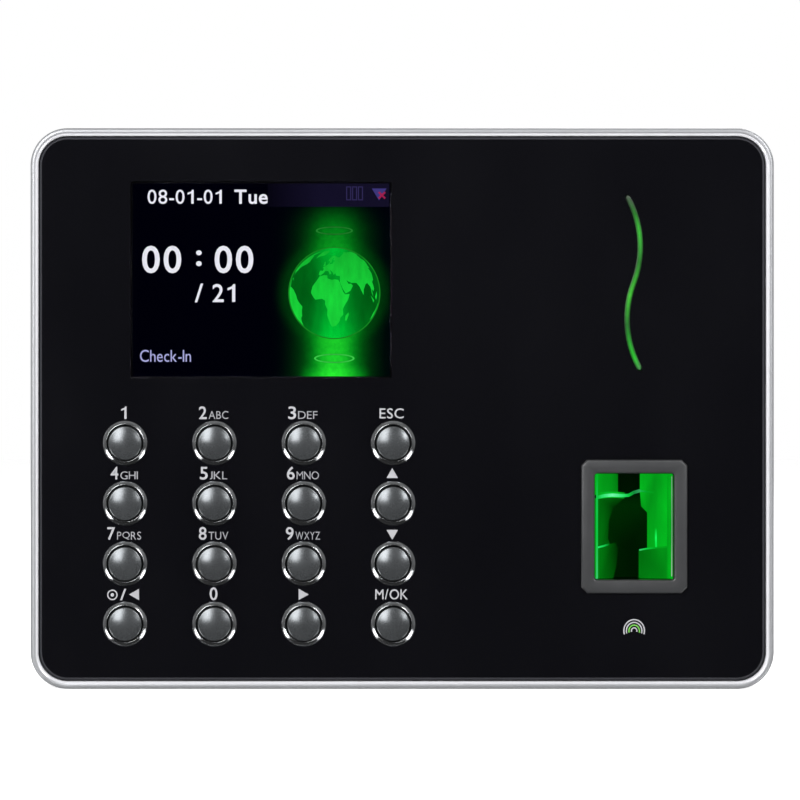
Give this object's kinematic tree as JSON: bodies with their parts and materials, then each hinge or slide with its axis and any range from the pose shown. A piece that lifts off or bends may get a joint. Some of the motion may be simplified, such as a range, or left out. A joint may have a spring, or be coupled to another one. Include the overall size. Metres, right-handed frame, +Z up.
{
  "type": "fingerprint scanner terminal",
  "caption": "Wall-mounted door and time terminal with a glossy front panel, silver trim frame, display window, round keys, lit strip and a glass fingerprint reader.",
  "frame": {"origin": "centre of the wall plate's back face, which lies on the wall", "axes": "+Z up, +X to the right as a user faces the terminal, the front faces -Y and +Y points into the wall"},
  "size_m": [0.176, 0.0319, 0.1328],
  "materials": {
    "silver_trim": "satin silver",
    "panel_gloss": "deep black gloss",
    "shell_black": "fine moulded texture",
    "window_clear": "polished",
    "display_glass": "polished",
    "backlight_white": "diffusing",
    "can_steel": "tinned sheet",
    "flex_amber": "film",
    "key_metal": "satin gunmetal",
    "ring_chrome": "polished dark chrome",
    "silicone": "matte",
    "contact_gold": "plated",
    "board_green": "solder mask",
    "chip_black": "moulded",
    "light_green": "lit diffusing",
    "diode_clear": "clear",
    "bezel_grey": "satin dark grey",
    "reader_glass": "polished",
    "lens_glass": "coated",
    "white_film": "film",
    "foam_grey": "foam",
    "cell_wrap": "shrink sleeve",
    "socket_metal": "tinned",
    "socket_black": "moulded",
    "plunger_white": "moulded",
    "button_red": "moulded",
    "plate_zinc": "zinc plated",
    "screw_steel": "zinc plated"
  },
  "bodies": {
    "case": {"wall_plate": "plate_zinc", "lock_screw": "screw_steel", "rear_housing": "shell_black", "housing_screws": "screw_steel", "front_shell": "shell_black", "front_frame": "silver_trim", "front_panel": "panel_gloss", "display_window": "window_clear", "display_panel": "display_glass", "display_backlight": "backlight_white", "display_frame": "can_steel", "display_ribbon": "flex_amber", "key_rings": "ring_chrome", "key_mat": "silicone", "key_contacts": "contact_gold", "key_board_plate": "board_green", "key_header": "chip_black", "light_guide": "light_green", "light_diodes": "diode_clear", "light_board": "board_green", "sensor_bezel": "bezel_grey", "sensor_prism": "reader_glass", "sensor_chamber": "socket_black", "sensor_lens": "lens_glass", "image_sensor": "chip_black", "sensor_diodes": "diode_clear", "sensor_board": "board_green", "sensor_cable": "white_film", "main_board": "board_green", "main_chips": "chip_black", "radio_shield": "can_steel", "antenna": "flex_amber", "speaker": "chip_black", "speaker_gasket": "foam_grey", "battery": "cell_wrap", "usb_port": "socket_metal", "network_port": "socket_black", "power_jack": "socket_black", "tamper_switch": "chip_black", "reset_switch": "chip_black", "board_screws": "screw_steel"},
    "key_1": {"key_1": "key_metal"},
    "key_2": {"key_2": "key_metal"},
    "key_3": {"key_3": "key_metal"},
    "key_esc": {"key_esc": "key_metal"},
    "key_4": {"key_4": "key_metal"},
    "key_5": {"key_5": "key_metal"},
    "key_6": {"key_6": "key_metal"},
    "key_up": {"key_up": "key_metal"},
    "key_7": {"key_7": "key_metal"},
    "key_8": {"key_8": "key_metal"},
    "key_9": {"key_9": "key_metal"},
    "key_down": {"key_down": "key_metal"},
    "key_left": {"key_left": "key_metal"},
    "key_0": {"key_0": "key_metal"},
    "key_right": {"key_right": "key_metal"},
    "key_ok": {"key_ok": "key_metal"},
    "tamper_plunger": {"tamper_plunger": "plunger_white"},
    "reset_button": {"reset_button": "button_red"}
  },
  "joints": [
    {"name": "key_1_press", "type": "slide", "parent": "case", "child": "key_1", "axis": [0, 1, 0], "range_m": [0, 0.001], "stiffness_N_per_m": 1200, "springref_m": -0.0004, "deforming": ["key_mat"]},
    {"name": "key_2_press", "type": "slide", "parent": "case", "child": "key_2", "axis": [0, 1, 0], "range_m": [0, 0.001], "stiffness_N_per_m": 1200, "springref_m": -0.0004, "deforming": ["key_mat"]},
    {"name": "key_3_press", "type": "slide", "parent": "case", "child": "key_3", "axis": [0, 1, 0], "range_m": [0, 0.001], "stiffness_N_per_m": 1200, "springref_m": -0.0004, "deforming": ["key_mat"]},
    {"name": "key_esc_press", "type": "slide", "parent": "case", "child": "key_esc", "axis": [0, 1, 0], "range_m": [0, 0.001], "stiffness_N_per_m": 1200, "springref_m": -0.0004, "deforming": ["key_mat"]},
    {"name": "key_4_press", "type": "slide", "parent": "case", "child": "key_4", "axis": [0, 1, 0], "range_m": [0, 0.001], "stiffness_N_per_m": 1200, "springref_m": -0.0004, "deforming": ["key_mat"]},
    {"name": "key_5_press", "type": "slide", "parent": "case", "child": "key_5", "axis": [0, 1, 0], "range_m": [0, 0.001], "stiffness_N_per_m": 1200, "springref_m": -0.0004, "deforming": ["key_mat"]},
    {"name": "key_6_press", "type": "slide", "parent": "case", "child": "key_6", "axis": [0, 1, 0], "range_m": [0, 0.001], "stiffness_N_per_m": 1200, "springref_m": -0.0004, "deforming": ["key_mat"]},
    {"name": "key_up_press", "type": "slide", "parent": "case", "child": "key_up", "axis": [0, 1, 0], "range_m": [0, 0.001], "stiffness_N_per_m": 1200, "springref_m": -0.0004, "deforming": ["key_mat"]},
    {"name": "key_7_press", "type": "slide", "parent": "case", "child": "key_7", "axis": [0, 1, 0], "range_m": [0, 0.001], "stiffness_N_per_m": 1200, "springref_m": -0.0004, "deforming": ["key_mat"]},
    {"name": "key_8_press", "type": "slide", "parent": "case", "child": "key_8", "axis": [0, 1, 0], "range_m": [0, 0.001], "stiffness_N_per_m": 1200, "springref_m": -0.0004, "deforming": ["key_mat"]},
    {"name": "key_9_press", "type": "slide", "parent": "case", "child": "key_9", "axis": [0, 1, 0], "range_m": [0, 0.001], "stiffness_N_per_m": 1200, "springref_m": -0.0004, "deforming": ["key_mat"]},
    {"name": "key_down_press", "type": "slide", "parent": "case", "child": "key_down", "axis": [0, 1, 0], "range_m": [0, 0.001], "stiffness_N_per_m": 1200, "springref_m": -0.0004, "deforming": ["key_mat"]},
    {"name": "key_left_press", "type": "slide", "parent": "case", "child": "key_left", "axis": [0, 1, 0], "range_m": [0, 0.001], "stiffness_N_per_m": 1200, "springref_m": -0.0004, "deforming": ["key_mat"]},
    {"name": "key_0_press", "type": "slide", "parent": "case", "child": "key_0", "axis": [0, 1, 0], "range_m": [0, 0.001], "stiffness_N_per_m": 1200, "springref_m": -0.0004, "deforming": ["key_mat"]},
    {"name": "key_right_press", "type": "slide", "parent": "case", "child": "key_right", "axis": [0, 1, 0], "range_m": [0, 0.001], "stiffness_N_per_m": 1200, "springref_m": -0.0004, "deforming": ["key_mat"]},
    {"name": "key_ok_press", "type": "slide", "parent": "case", "child": "key_ok", "axis": [0, 1, 0], "range_m": [0, 0.001], "stiffness_N_per_m": 1200, "springref_m": -0.0004, "deforming": ["key_mat"]},
    {"name": "tamper_press", "type": "slide", "parent": "case", "child": "tamper_plunger", "axis": [0, -1, 0], "range_m": [0, 0.0005], "stiffness_N_per_m": 800, "springref_m": -0.0006},
    {"name": "reset_press", "type": "slide", "parent": "case", "child": "reset_button", "axis": [0, 0, 1], "range_m": [0, 0.0004], "stiffness_N_per_m": 1500, "springref_m": -0.0004}
  ]
}
